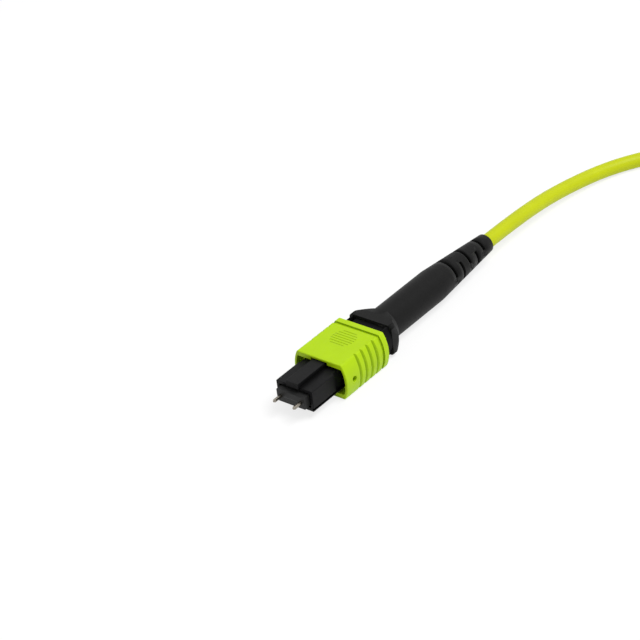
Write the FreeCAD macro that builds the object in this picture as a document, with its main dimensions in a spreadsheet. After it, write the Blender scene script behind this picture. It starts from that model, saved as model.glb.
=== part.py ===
import FreeCAD, Part
import math
import os
import Sketcher

# Multi-fibre push-on plug, pinned version, on a 3 mm round cable.
# Every piece is drawn about the plug's own axis: the ferrule's end face is at y = 0, the cable
# runs towards +Y, the key is up (+Z) and X is the width. Each piece is then placed so that the
# plug lies on its sleeve's underside, with the origin under the middle of its length.

doc = FreeCAD.newDocument("mpo_plug")
Vec = FreeCAD.Vector

SIZES = {
    # fits
    "slide_gap": 0.08,  # each side, between mouldings that slide on each other
    "snug_gap": 0.02,  # each side, between pieces that are pushed together
    # ferrule and guide pins
    "ferrule_width": 6.4,
    "ferrule_height": 2.45,
    "ferrule_length": 8.0,
    "collar_width": 6.9,
    "collar_height": 2.95,
    "collar_length": 2.0,
    "pocket_width": 3.7,
    "pocket_height": 1.5,
    "pocket_depth": 3.0,
    "window_width": 3.3,
    "window_length": 1.5,
    "window_start": 2.6,
    "window_floor": 0.2,
    "pin_pitch": 4.6,
    "pin_diameter": 0.699,
    "pin_proud": 2.05,
    "pin_taper": 0.25,
    "pin_tip_diameter": 0.4,
    "pin_shank_diameter": 0.66,
    "pin_neck_length": 0.6,
    "guide_hole_diameter": 0.7,
    "clamp_length": 2.6,
    "clamp_floor": 0.4,
    "sock_length": 4.6,
    # fibres
    "fibre_count": 12,
    "fibre_pitch": 0.25,
    "fibre_diameter": 0.125,
    "glue_gap": 0.002,
    "coating_diameter": 0.2,
    "bundle_pitch": 0.26,
    "bundle_rise": 0.2,
    "fibre_bend_start": 12.0,
    "fibre_bend_end": 22.0,
    "fibre_tail": 2.96,
    # inner housing
    "housing_front": 1.33,
    "housing_length": 18.7,
    "housing_width": 8.34,
    "housing_height": 4.44,
    "housing_rounding": 0.3,
    "mouth_gap": 0.35,
    "mouth_recess": 0.6,
    "key_proud": 0.45,
    "key_end": 12.0,
    "key_width": 2.8,
    "key_rise": 0.95,
    "key_root": 0.2,
    "hook_front": 7.75,
    "hook_length": 2.4,
    "hook_share": 0.625,  # of the side wall, cut away by the hook recess
    "rail_height": 0.37,
    "rail_groove": 0.4,
    "rail_groove_share": 0.55,  # of the side wall, cut away by the groove
    "latch_inset": 4.83,
    "latch_length": 1.6,
    "latch_height": 1.5,
    # coupling sleeve
    "sleeve_front": 8.74,
    "sleeve_length": 12.66,
    "sleeve_top_width": 10.28,
    "sleeve_height": 7.52,
    "sleeve_bulge": 1.03,
    "sleeve_corner": 0.5,
    "sleeve_edge": 0.12,
    "mouth_depth": 1.7,
    "mouth_side_wall": 0.5,
    "mouth_top_wall": 1.2,
    "mouth_bottom_wall": 0.7,
    "keyway_width": 3.8,
    "keyway_wall": 0.45,
    "channel_start": 12.3,
    "channel_width": 1.25,
    "channel_height": 1.4,
    "rib_first": 13.05,
    "rib_pitch": 1.67,
    "rib_count": 4,
    "groove_width": 0.8,
    "groove_floor": 0.3,
    "groove_depth": 0.3,
    "groove_sweep": 64.5,
    "ring_inset": 2.02,
    "ring_width": 0.6,
    "ring_depth": 0.3,
    "rear_mouth_depth": 2.9,
    "ridge_first": 14.3,
    "ridge_pitch": 0.75,
    "ridge_count": 6,
    "ridge_length": 4.6,
    "ridge_width": 0.3,
    "ridge_depth": 0.14,
    "side_hole_place": 11.0,
    "side_hole_diameter": 1.0,
    # coupling springs and ferrule spring
    "side_spring_diameter": 1.08,
    "side_spring_wire": 0.18,
    "side_spring_turns": 6,
    "main_spring_width": 5.5,
    "main_spring_height": 2.6,
    "main_spring_wire": 0.34,
    "main_spring_turns": 6,
    "wire_sides": 6,
    "steps_each_turn": 7,
    # rear body
    "seat_inset": 3.03,
    "arm_inset": 5.33,
    "arm_thickness": 0.5,
    "barb_inset": 0.06,
    "shoulder_length": 2.0,
    "shoulder_height": 4.2,
    "ear_gap": 0.37,
    "ear_length": 1.0,
    "cheek_inset": 1.23,
    "cheek_height": 6.0,
    "valley_width": 0.6,
    "web_height": 1.8,
    "neck_width": 6.6,
    "neck_height": 5.1,
    "neck_length": 2.01,
    "stub_diameter": 3.8,
    "stub_length": 7.0,
    "stub_bore": 2.4,
    "passage_width": 3.5,
    "passage_height": 1.5,
    # crimp, yarn and boot
    "yarn_thickness": 0.25,
    "yarn_end": 0.4,
    "yarn_start": 1.0,
    "crimp_wall": 0.33,
    "crimp_skirt": 3.4,
    "flange_width": 9.9,
    "flange_height": 6.5,
    "flange_corner": 0.8,
    "flange_length": 0.9,
    "blend_length": 3.96,
    "blend_drop": 0.1,
    "boot_diameter": 6.82,
    "barrel_length": 18.96,
    "boot_length": 36.96,
    "boot_rear_diameter": 3.95,
    "boot_rounding": 0.35,
    "slot_inset": 23.36,
    "slot_pitch": 5.15,
    "slot_width": 0.45,
    "slot_floor": 3.5,
    "slot_top_sweep": 156,
    "slot_side_sweep": 92,
    # cable
    "cable_diameter": 3.0,
    "cable_bore": 2.0,
    "cable_bore_depth": 5.0,
    "cable_inset": 3.0,
    "hank_gap": 85.0,
    "hank_centre": 9.6,
    "hank_radius": 13.5,
    "hank_straight": 45.0,
    "hank_layers": 3,
    "tie_width": 9.0,
    "tie_thickness": 0.8,
    "tie_slack": 0.2,
}

# Places along the plug that follow from the sizes.
PLACES = {
    # along the plug
    "collar_front": "=Sizes.ferrule_length - Sizes.collar_length",
    "clamp_rear": "=Sizes.ferrule_length + Sizes.clamp_length",
    "pin_end": "=Sizes.ferrule_length + Sizes.clamp_length - Sizes.clamp_floor",
    "housing_rear": "=Sizes.housing_front + Sizes.housing_length",
    "latch_front": "=housing_rear - Sizes.latch_inset",
    "arm_start": "=housing_rear - Sizes.arm_inset",
    "push_seat": "=housing_rear - Sizes.seat_inset",
    "ear_start": "=housing_rear + Sizes.ear_gap",
    "cheek_start": "=ear_start + Sizes.ear_length",
    "shoulder_rear": "=housing_rear + Sizes.shoulder_length",
    "boot_front": "=shoulder_rear + Sizes.neck_length",
    "boot_waist": "=boot_front + Sizes.blend_length",
    "boot_shoulder": "=boot_front + Sizes.barrel_length",
    "boot_rear": "=boot_front + Sizes.boot_length",
    "slot_first": "=boot_front + Sizes.slot_inset",
    "sleeve_rear": "=Sizes.sleeve_front + Sizes.sleeve_length",
    "ring_place": "=sleeve_rear - Sizes.ring_inset",
    "jacket_start": "=boot_front + Sizes.stub_length + Sizes.yarn_end",
    "crimp_step": "=jacket_start + Sizes.crimp_wall",
    "crimp_rear": "=jacket_start + Sizes.crimp_skirt",
    "fibre_end": "=jacket_start + Sizes.fibre_tail",
    "cord_start": "=boot_rear - Sizes.cable_inset",
    "hank_lead": "=boot_rear + Sizes.hank_gap",
    # where the plug stands in the part
    "axis_z": "=Sizes.sleeve_height / 2",
    "face_y": "=(Sizes.pin_proud - boot_rear) / 2",
    # across the plug
    "cavity_width": "=Sizes.collar_width + 2 * Sizes.slide_gap",
    "cavity_height": "=Sizes.collar_height + 2 * Sizes.slide_gap",
    "side_wall": "=(Sizes.housing_width - cavity_width) / 2",
    "housing_top": "=Sizes.housing_height / 2",
    "rail_top": "=Sizes.rail_height - housing_top",
    "side_radius": "=((Sizes.sleeve_height / 2) ^ 2 + Sizes.sleeve_bulge ^ 2) / (2 * Sizes.sleeve_bulge)",
    "side_reach": "=Sizes.sleeve_top_width / 2 + Sizes.sleeve_bulge",
    "side_centre": "=side_reach - side_radius",
    "cheek_radius": "=side_radius - Sizes.cheek_inset",
    "bore_side": "=Sizes.housing_width / 2 + Sizes.slide_gap",
    "bore_top": "=housing_top + Sizes.slide_gap",
    "spring_side": "=bore_side + Sizes.channel_width / 2",
    "push_front_width": "=cavity_width - 2 * Sizes.snug_gap",
    "push_front_height": "=cavity_height - 2 * Sizes.snug_gap",
    "yarn_radius": "=Sizes.stub_diameter / 2 + Sizes.yarn_thickness",
    "crimp_bore": "=yarn_radius + Sizes.snug_gap",
    "crimp_radius": "=crimp_bore + Sizes.crimp_wall",
    "skirt_bore": "=Sizes.cable_diameter / 2 + Sizes.snug_gap",
    "skirt_radius": "=skirt_bore + Sizes.crimp_wall",
    "cable_low": "=Sizes.cable_diameter / 2 - Sizes.sleeve_height / 2",
    "lead_x": "=Sizes.hank_centre + Sizes.hank_radius",
}


def make_sheet(name, cells):
    sheet = doc.addObject("Spreadsheet::Sheet", name)
    for row, (alias, content) in enumerate(cells.items(), 1):
        sheet.set(f"A{row}", alias)
        sheet.set(f"B{row}", str(content))
        sheet.setAlias(f"B{row}", alias)
    doc.recompute()
    return sheet


sizes = make_sheet("Sizes", SIZES)
places = make_sheet("Places", PLACES)


def ref(name):
    """The expression that reads a size or a place."""
    return f"Sizes.{name}" if name in SIZES else f"Places.{name}"


def value(expression):
    """The number that an expression gives now."""
    result = sizes.evalExpression(expression)
    return float(getattr(result, "Value", result))


def number(name):
    return value(ref(name))


def on_axis(item, label):
    """Label a sub-part and move it from the plug's axis to where the plug lies."""
    item.Label = label
    item.setExpression("Placement.Base.y", ref("face_y"))
    item.setExpression("Placement.Base.z", ref("axis_z"))
    return item


# ---------------------------------------------------------------- part design helpers


def new_body(label):
    return on_axis(doc.addObject("PartDesign::Body", label), label)


def new_sketch(body, name, role, place="0"):
    """A sketch on one of the body's own planes; place is its distance along that plane's axis."""
    sketch = body.newObject("Sketcher::SketchObject", name)
    plane = next(f for f in body.Origin.OriginFeatures if f.Role == role)
    sketch.AttachmentSupport = [(plane, "")]
    sketch.MapMode = "FlatFace"
    sign = "-" if role == "XZ_Plane" else ""
    sketch.setExpression("AttachmentOffset.Base.z", f"{sign}({place})")
    return sketch


def pin_point(sketch, geometry, point, across=None, up=None):
    """Fix a point of a sketch at an expression across and an expression up."""
    for kind, expression in (("DistanceX", across), ("DistanceY", up)):
        if expression is None:
            continue
        constraint = Sketcher.Constraint(kind, -1, 1, geometry, point, value(expression))
        index = sketch.addConstraint(constraint)
        sketch.setExpression(f"Constraints[{index}]", expression)


def bind_radius(sketch, geometry, expression):
    index = sketch.addConstraint(Sketcher.Constraint("Radius", geometry, value(expression)))
    sketch.setExpression(f"Constraints[{index}]", expression)


def join_ends(sketch, first, count):
    """Close a loop of consecutive edges, end to start."""
    for k in range(count):
        sketch.addConstraint(
            Sketcher.Constraint("Coincident", first + k, 2, first + (k + 1) % count, 1)
        )


def add_polygon(sketch, corners):
    """A closed polygon with each corner fixed by its pair of expressions."""
    points = [Vec(value(x), value(z), 0) for x, z in corners]
    edges = [Part.LineSegment(a, b) for a, b in zip(points, points[1:] + points[:1])]
    first = sketch.addGeometry(edges, False)[0]
    join_ends(sketch, first, len(corners))
    for k, (across, up) in enumerate(corners):
        pin_point(sketch, first + k, 1, across, up)


def add_box(sketch, left, right, low, high):
    add_polygon(sketch, [(left, low), (right, low), (right, high), (left, high)])


def add_centred_box(sketch, width, height):
    add_box(sketch, f"-({width}) / 2", f"({width}) / 2", f"-({height}) / 2", f"({height}) / 2")


def add_side_boxes(sketch, near, far, low, high):
    """The same box on the right and on the left."""
    add_box(sketch, near, far, low, high)
    add_box(sketch, f"-({far})", f"-({near})", low, high)


def add_circle(sketch, across, up, radius):
    circle = Part.Circle(Vec(value(across), value(up), 0), Vec(0, 0, 1), value(radius))
    index = sketch.addGeometry(circle, False)
    pin_point(sketch, index, 3, across, up)
    bind_radius(sketch, index, radius)


def add_hexagon(sketch, across, up, radius):
    """A hexagon with a corner on each side of its centre, reaching out by the radius."""
    corners = []
    for k in range(6):
        turn = math.radians(60 * k)
        corners.append(
            (f"{across} + ({radius}) * {math.cos(turn):.6f}", f"{up} + ({radius}) * {math.sin(turn):.6f}")
        )
    add_polygon(sketch, corners)


def add_barrel(sketch, centre, radius, low, high):
    """Flat top and bottom joined by two side arcs about (centre, 0) and (-centre, 0)."""
    middle, reach = value(centre), value(radius)
    bottom, top = value(low), value(high)
    x_low = middle + math.sqrt(reach**2 - bottom**2)
    x_high = middle + math.sqrt(reach**2 - top**2)
    a_low, a_high = math.asin(bottom / reach), math.asin(top / reach)
    right = Part.ArcOfCircle(Part.Circle(Vec(middle, 0, 0), Vec(0, 0, 1), reach), a_low, a_high)
    left = Part.ArcOfCircle(
        Part.Circle(Vec(-middle, 0, 0), Vec(0, 0, 1), reach), math.pi - a_high, math.pi - a_low
    )
    roof = Part.LineSegment(Vec(x_high, top, 0), Vec(-x_high, top, 0))
    floor = Part.LineSegment(Vec(-x_low, bottom, 0), Vec(x_low, bottom, 0))
    first = sketch.addGeometry([right, roof, left, floor], False)[0]
    join_ends(sketch, first, 4)
    sketch.addConstraint(Sketcher.Constraint("Horizontal", first + 1))
    sketch.addConstraint(Sketcher.Constraint("Horizontal", first + 3))
    pin_point(sketch, first + 1, 1, None, high)
    pin_point(sketch, first + 3, 1, None, low)
    pin_point(sketch, first, 3, centre, "0")
    pin_point(sketch, first + 2, 3, f"-({centre})", "0")
    bind_radius(sketch, first, radius)
    bind_radius(sketch, first + 2, radius)


def add_rounded_box(sketch, width, height, corner):
    """A centred box with four equal tangent corner arcs."""
    w, h, r = value(width) / 2, value(height) / 2, value(corner)
    edges = []
    for turn in range(4):
        reach, other = (w, h) if turn % 2 == 0 else (h, w)
        spin = FreeCAD.Rotation(Vec(0, 0, 1), 90 * turn)
        line = (Vec(reach, r - other, 0), Vec(reach, other - r, 0))
        centre = spin.multVec(Vec(reach - r, other - r, 0))
        circle = Part.Circle(centre, Vec(0, 0, 1), r)
        edges.append(Part.LineSegment(*[spin.multVec(p) for p in line]))
        edges.append(
            Part.ArcOfCircle(circle, math.radians(90 * turn), math.radians(90 * turn + 90))
        )
    first = sketch.addGeometry(edges, False)[0]
    for k in range(8):
        sketch.addConstraint(Sketcher.Constraint("Tangent", first + k, 2, first + (k + 1) % 8, 1))
    for k, kind in ((0, "Vertical"), (2, "Horizontal"), (4, "Vertical"), (6, "Horizontal")):
        sketch.addConstraint(Sketcher.Constraint(kind, first + k))
    for k in (3, 5, 7):
        sketch.addConstraint(Sketcher.Constraint("Equal", first + 1, first + k))
    bind_radius(sketch, first + 1, corner)
    pin_point(sketch, first, 1, f"({width}) / 2", None)
    pin_point(sketch, first + 4, 1, f"-({width}) / 2", None)
    pin_point(sketch, first + 2, 1, None, f"({height}) / 2")
    pin_point(sketch, first + 6, 1, None, f"-({height}) / 2")


def pad(body, sketch, name, length):
    """Grow a sketch on the plug's cross-section towards the cable."""
    feature = body.newObject("PartDesign::Pad", name)
    feature.Profile = sketch
    feature.Reversed = True
    feature.setExpression("Length", length)
    doc.recompute()
    return feature


def pocket(body, sketch, name, length=None):
    """Cut a sketch away from its plane into the body, or through it all."""
    before = body.Shape.Volume
    feature = body.newObject("PartDesign::Pocket", name)
    feature.Profile = sketch
    if length is None:
        feature.Type = "ThroughAll"
    else:
        feature.setExpression("Length", length)
    doc.recompute()
    if body.Shape.Volume >= before:
        raise RuntimeError(f"{name} cuts nothing")
    return feature


def turned(body, sketch, name, kind="PartDesign::Revolution", sweep="360"):
    """Turn a sketch about the plug's axis, or cut it away by turning it."""
    before = body.Shape.Volume if body.Shape.Solids else 0.0
    feature = body.newObject(kind, name)
    feature.Profile = sketch
    feature.ReferenceAxis = (sketch, ["H_Axis"] if sketch_is_side(sketch) else ["V_Axis"])
    feature.setExpression("Angle", sweep)
    feature.Midplane = True
    doc.recompute()
    if kind.endswith("Groove") and body.Shape.Volume >= before:
        raise RuntimeError(f"{name} cuts nothing")
    return feature


def sketch_is_side(sketch):
    """True for a sketch on the YZ plane, whose horizontal axis is the plug's axis."""
    return sketch.AttachmentSupport[0][0].Role == "YZ_Plane"


def copies(body, feature, name, kind, **properties):
    """A pattern or mirror of one feature, made the body's tip so that it counts."""
    pattern = body.newObject(kind, name)
    pattern.Originals = [feature]
    for key, setting in properties.items():
        setattr(pattern, key, setting)
    body.Tip = pattern
    doc.recompute()
    return pattern


def origin_part(body, role):
    return next(f for f in body.Origin.OriginFeatures if f.Role == role)


def edge_names(shape, wanted):
    return [f"Edge{k}" for k, edge in enumerate(shape.Edges, 1) if wanted(edge)]


def round_edges(body, name, wanted, radius):
    base = body.Tip
    feature = body.newObject("PartDesign::Fillet", name)
    feature.Base = (base, edge_names(base.Shape, wanted))
    feature.setExpression("Radius", radius)
    doc.recompute()
    return feature


def bevel_edges(body, name, wanted, size):
    base = body.Tip
    feature = body.newObject("PartDesign::Chamfer", name)
    feature.Base = (base, edge_names(base.Shape, wanted))
    feature.setExpression("Size", size)
    doc.recompute()
    return feature


def runs_along(edge, axis):
    """True for a straight edge parallel to the axis."""
    if edge.Curve.TypeId != "Part::GeomLine":
        return False
    return abs(edge.tangentAt(edge.FirstParameter).dot(axis)) > 0.999


def near(a, b):
    return abs(a - b) < 1e-4


# ---------------------------------------------------------------- ferrule and its pieces


def make_ferrule():
    body = new_body("ferrule")
    face = new_sketch(body, "FerruleFace", "XZ_Plane")
    add_centred_box(face, ref("ferrule_width"), ref("ferrule_height"))
    pad(body, face, "FerruleBlock", ref("ferrule_length"))
    collar = new_sketch(body, "CollarFace", "XZ_Plane", ref("collar_front"))
    add_centred_box(collar, ref("collar_width"), ref("collar_height"))
    pad(body, collar, "Collar", ref("collar_length"))
    rear = f"{ref('ferrule_length')} - {ref('pocket_depth')}"
    hollow = new_sketch(body, "SockPocketFace", "XZ_Plane", rear)
    add_centred_box(hollow, ref("pocket_width"), ref("pocket_height"))
    pocket(body, hollow, "SockPocket")
    bores = new_sketch(body, "PinBores", "XZ_Plane")
    reach = f"{ref('guide_hole_diameter')} / 2"
    for side in ("", "-"):
        add_circle(bores, f"{side}{ref('pin_pitch')} / 2", "0", reach)
    pocket(body, bores, "PinHoles")
    holes = new_sketch(body, "FibreBores", "XZ_Plane")
    for k in range(int(number("fibre_count"))):
        add_hexagon(holes, fibre_across(k), "0", f"{ref('fibre_diameter')} / 2 + {ref('glue_gap')}")
    pocket(body, holes, "FibreHoles", rear)
    window = new_sketch(body, "WindowOutline", "XY_Plane", f"{ref('ferrule_height')} / 2")
    half = f"{ref('window_width')} / 2"
    start = ref("window_start")
    add_box(window, f"-{half}", half, start, f"{start} + {ref('window_length')}")
    depth = f"{ref('ferrule_height')} / 2 - {ref('window_floor')}"
    pocket(body, window, "Window", depth)
    return body


def fibre_across(k):
    """Where fibre k stands across the ferrule, counted from the left."""
    return f"({k} - ({ref('fibre_count')} - 1) / 2) * {ref('fibre_pitch')}"


def make_guide_pin(label, side):
    """A pin with a tapered nose, ground to size where it stands free and slimmer behind."""
    body = new_body(label)
    outline = new_sketch(body, "PinOutline", "YZ_Plane")
    nose = f"-{ref('pin_proud')}"
    end = ref("pin_end")
    full = f"{ref('pin_diameter')} / 2"
    shank = f"{ref('pin_shank_diameter')} / 2"
    add_polygon(
        outline,
        [
            (nose, "0"),
            (end, "0"),
            (end, shank),
            (ref("pin_neck_length"), shank),
            ("0", full),
            (f"{nose} + {ref('pin_taper')}", full),
            (nose, f"{ref('pin_tip_diameter')} / 2"),
        ],
    )
    turned(body, outline, "Pin")
    body.setExpression("Placement.Base.x", f"{side} * {ref('pin_pitch')} / 2")
    return body


def make_pin_clamp():
    body = new_body("pin_clamp")
    face = new_sketch(body, "ClampFace", "XZ_Plane", ref("ferrule_length"))
    add_centred_box(face, ref("collar_width"), ref("collar_height"))
    pad(body, face, "ClampBlock", ref("clamp_length"))
    hollow = new_sketch(body, "SockHole", "XZ_Plane", ref("ferrule_length"))
    add_centred_box(hollow, ref("pocket_width"), ref("pocket_height"))
    pocket(body, hollow, "SockWay")
    bores = new_sketch(body, "PinSeats", "XZ_Plane", ref("ferrule_length"))
    reach = f"{ref('guide_hole_diameter')} / 2"
    for side in ("", "-"):
        add_circle(bores, f"{side}{ref('pin_pitch')} / 2", "0", reach)
    pocket(body, bores, "PinBlindHoles", f"{ref('clamp_length')} - {ref('clamp_floor')}")
    return body


def make_ferrule_sock():
    """The soft sock in the ferrule's back that keeps the glue in and the fibres straight."""
    body = new_body("ferrule_boot")
    front = f"{ref('ferrule_length')} - {ref('pocket_depth')}"
    face = new_sketch(body, "SockFace", "XZ_Plane", front)
    width = f"{ref('pocket_width')} - 2 * {ref('snug_gap')}"
    height = f"{ref('pocket_height')} - 2 * {ref('snug_gap')}"
    add_centred_box(face, width, height)
    pad(body, face, "SockBlock", ref("sock_length"))
    way = new_sketch(body, "FibreWay", "XZ_Plane", front)
    row = f"{ref('fibre_count')} * {ref('fibre_pitch')} + 2 * {ref('snug_gap')}"
    add_centred_box(way, row, f"{ref('coating_diameter')} + 2 * {ref('snug_gap')}")
    pocket(body, way, "FibreSlot")
    return body


# ---------------------------------------------------------------- housing and rear body


def make_inner_housing():
    body = new_body("inner_housing")
    half = f"{ref('housing_width')} / 2"
    top = ref("housing_top")
    front = ref("housing_front")
    face = new_sketch(body, "HousingFace", "XZ_Plane", front)
    add_centred_box(face, ref("housing_width"), ref("housing_height"))
    pad(body, face, "HousingBlock", ref("housing_length"))
    round_edges(
        body, "HousingCorners", lambda e: runs_along(e, Vec(0, 1, 0)), ref("housing_rounding")
    )
    key = new_sketch(body, "KeyFace", "XZ_Plane", f"{front} - {ref('key_proud')}")
    side = f"{ref('key_width')} / 2"
    add_box(key, f"-{side}", side, f"{top} - {ref('key_root')}", f"{top} + {ref('key_rise')}")
    pad(body, key, "Key", f"{ref('key_end')} - {front} + {ref('key_proud')}")
    bore = new_sketch(body, "FerruleWay", "XZ_Plane", front)
    gap = f"2 * {ref('slide_gap')}"
    add_centred_box(bore, f"{ref('ferrule_width')} + {gap}", f"{ref('ferrule_height')} + {gap}")
    pocket(body, bore, "FerruleBore")
    mouth = new_sketch(body, "NoseMouthFace", "XZ_Plane", front)
    gap = f"2 * {ref('mouth_gap')}"
    add_centred_box(mouth, f"{ref('ferrule_width')} + {gap}", f"{ref('ferrule_height')} + {gap}")
    pocket(body, mouth, "NoseMouth", ref("mouth_recess"))
    cavity = new_sketch(body, "CavityFace", "XZ_Plane", ref("collar_front"))
    add_centred_box(cavity, ref("cavity_width"), ref("cavity_height"))
    pocket(body, cavity, "Cavity")
    hooks = new_sketch(body, "HookRecessFace", "XZ_Plane", ref("hook_front"))
    wall = ref("side_wall")
    beyond = f"{half} + {wall}"
    groove_top = f"{ref('rail_top')} + {ref('rail_groove')}"
    inner = f"{half} - {ref('hook_share')} * {wall}"
    add_side_boxes(hooks, inner, beyond, groove_top, ref("housing_height"))
    pocket(body, hooks, "HookRecesses", ref("hook_length"))
    grooves = new_sketch(body, "RailGrooveFace", "XZ_Plane", front)
    inner = f"{half} - {ref('rail_groove_share')} * {wall}"
    add_side_boxes(grooves, inner, beyond, ref("rail_top"), groove_top)
    pocket(body, grooves, "RailGrooves")
    windows = new_sketch(body, "LatchWindowFace", "XZ_Plane", ref("latch_front"))
    tall = f"{ref('latch_height')} / 2"
    add_box(windows, f"-({beyond})", beyond, f"-{tall}", tall)
    pocket(body, windows, "LatchWindows", ref("latch_length"))
    return body


def make_rear_body():
    """The piece that closes the housing, seats the springs and carries the crimp stub."""
    body = new_body("spring_push")
    gap = ref("snug_gap")
    rear = ref("housing_rear")
    plug = new_sketch(body, "PlugFace", "XZ_Plane", ref("push_seat"))
    add_centred_box(plug, ref("push_front_width"), ref("push_front_height"))
    pad(body, plug, "PlugBlock", f"{rear} - {ref('push_seat')}")
    arms = new_sketch(body, "ArmFaces", "XZ_Plane", ref("arm_start"))
    outer = f"{ref('push_front_width')} / 2"
    tall = f"{ref('latch_height')} / 2 - {gap}"
    add_side_boxes(arms, f"{outer} - {ref('arm_thickness')}", outer, f"-({tall})", tall)
    pad(body, arms, "LatchArms", f"{ref('push_seat')} - {ref('arm_start')}")
    barbs = new_sketch(body, "BarbFaces", "XZ_Plane", f"{ref('latch_front')} + {gap}")
    reach = f"{ref('housing_width')} / 2 - {ref('barb_inset')}"
    add_side_boxes(barbs, f"{outer} - {ref('arm_thickness')}", reach, f"-({tall})", tall)
    pad(body, barbs, "Barbs", f"{ref('latch_length')} - 2 * {gap}")
    shoulder = new_sketch(body, "ShoulderFace", "XZ_Plane", rear)
    add_centred_box(shoulder, ref("housing_width"), ref("shoulder_height"))
    pad(body, shoulder, "Shoulder", ref("shoulder_length"))
    ears = new_sketch(body, "EarFaces", "XZ_Plane", ref("ear_start"))
    ear_tall = f"{ref('channel_height')} / 2 - {ref('slide_gap')}"
    ear_reach = f"{ref('bore_side')} + {ref('channel_width')} - {ref('slide_gap')}"
    add_side_boxes(ears, f"{outer}", ear_reach, f"-({ear_tall})", ear_tall)
    pad(body, ears, "SpringEars", ref("ear_length"))
    add_cheeks(body)
    stub = new_sketch(body, "StubFace", "XZ_Plane", ref("boot_front"))
    add_circle(stub, "0", "0", f"{ref('stub_diameter')} / 2")
    pad(body, stub, "CrimpStub", ref("stub_length"))
    way = new_sketch(body, "PassageFace", "XZ_Plane", ref("push_seat"))
    add_centred_box(way, ref("passage_width"), ref("passage_height"))
    pocket(body, way, "Passage", f"{ref('boot_front')} - {ref('push_seat')}")
    bore = new_sketch(body, "StubBoreFace", "XZ_Plane", ref("boot_front"))
    add_circle(bore, "0", "0", f"{ref('stub_bore')} / 2")
    pocket(body, bore, "StubBore")
    return body


def add_cheeks(body):
    """The block behind the ears, with a deep valley each side of its neck, above and below."""
    start = ref("cheek_start")
    length = f"{ref('boot_front')} - {start}"
    top = f"{ref('cheek_height')} / 2"
    block = new_sketch(body, "CheekFace", "XZ_Plane", start)
    add_barrel(block, ref("side_centre"), ref("cheek_radius"), f"-{top}", top)
    pad(body, block, "Cheeks", length)
    valleys = new_sketch(body, "ValleyFace", "XZ_Plane", start)
    neck = f"{ref('neck_width')} / 2"
    side = f"({neck} + {ref('valley_width')})"
    for sign in ("", "-"):
        beyond = f"{sign}{ref('cheek_height')}"
        floor = f"{sign}{ref('web_height')} / 2"
        crown = f"{sign}{ref('neck_height')} / 2"
        add_polygon(
            valleys,
            [
                (f"-{side}", beyond),
                (side, beyond),
                (side, floor),
                (neck, floor),
                (neck, crown),
                (f"-{neck}", crown),
                (f"-{neck}", floor),
                (f"-{side}", floor),
            ],
        )
    pocket(body, valleys, "Valleys", length)


# ---------------------------------------------------------------- coupling sleeve


def make_coupling_sleeve():
    """The pull sleeve: bulged ribbed sides, keyway in its mouth, spring channels inside."""
    body = new_body("coupling_sleeve")
    front, rear = ref("sleeve_front"), ref("sleeve_rear")
    centre, radius = ref("side_centre"), ref("side_radius")
    top = f"{ref('sleeve_height')} / 2"
    face = new_sketch(body, "SleeveFace", "XZ_Plane", front)
    add_barrel(face, centre, radius, f"-{top}", top)
    pad(body, face, "SleeveBlock", ref("sleeve_length"))
    round_edges(
        body, "SleeveCorners", lambda e: runs_along(e, Vec(0, 1, 0)), ref("sleeve_corner")
    )
    ends = (number("sleeve_front"), number("sleeve_rear"))
    bevel_edges(
        body,
        "SleeveEnds",
        lambda e: any(near(e.BoundBox.YMin, y) and near(e.BoundBox.YMax, y) for y in ends),
        ref("sleeve_edge"),
    )
    mouth = new_sketch(body, "MouthFace", "XZ_Plane", front)
    inner = f"{radius} - {ref('mouth_side_wall')}"
    low = f"{ref('mouth_bottom_wall')} - {top}"
    high = f"{top} - {ref('mouth_top_wall')}"
    add_barrel(mouth, centre, inner, low, high)
    pocket(body, mouth, "Mouth", ref("mouth_depth"))
    bore = new_sketch(body, "BoreFace", "XZ_Plane", front)
    side, roof = ref("bore_side"), ref("bore_top")
    add_box(bore, f"-{side}", side, f"-{roof}", roof)
    pocket(body, bore, "Bore")
    keyway = new_sketch(body, "KeywayFace", "XZ_Plane", front)
    half = f"{ref('keyway_width')} / 2"
    add_box(keyway, f"-{half}", half, "0", f"{top} - {ref('keyway_wall')}")
    pocket(body, keyway, "Keyway", f"{ref('key_end')} - {front}")
    channels = new_sketch(body, "ChannelFace", "XZ_Plane", ref("channel_start"))
    tall = f"{ref('channel_height')} / 2"
    reach = f"({side} + {ref('channel_width')})"
    add_box(channels, f"-{reach}", reach, f"-{tall}", tall)
    pocket(body, channels, "SpringChannels")
    telescope = new_sketch(body, "RearMouthFace", "XZ_Plane", f"{rear} - {ref('rear_mouth_depth')}")
    gap = ref("slide_gap")
    tall = f"({ref('cheek_height')} / 2 + {gap})"
    add_barrel(telescope, centre, f"{ref('cheek_radius')} + {gap}", f"-{tall}", tall)
    pocket(body, telescope, "RearMouth")
    cut_ribs(body)
    cut_ring(body)
    cut_ridges(body)
    hole = new_sketch(body, "SideHoleOutline", "YZ_Plane", ref("side_reach"))
    add_circle(hole, ref("side_hole_place"), "0", f"{ref('side_hole_diameter')} / 2")
    pocket(body, hole, "SideHole")
    return body


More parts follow.
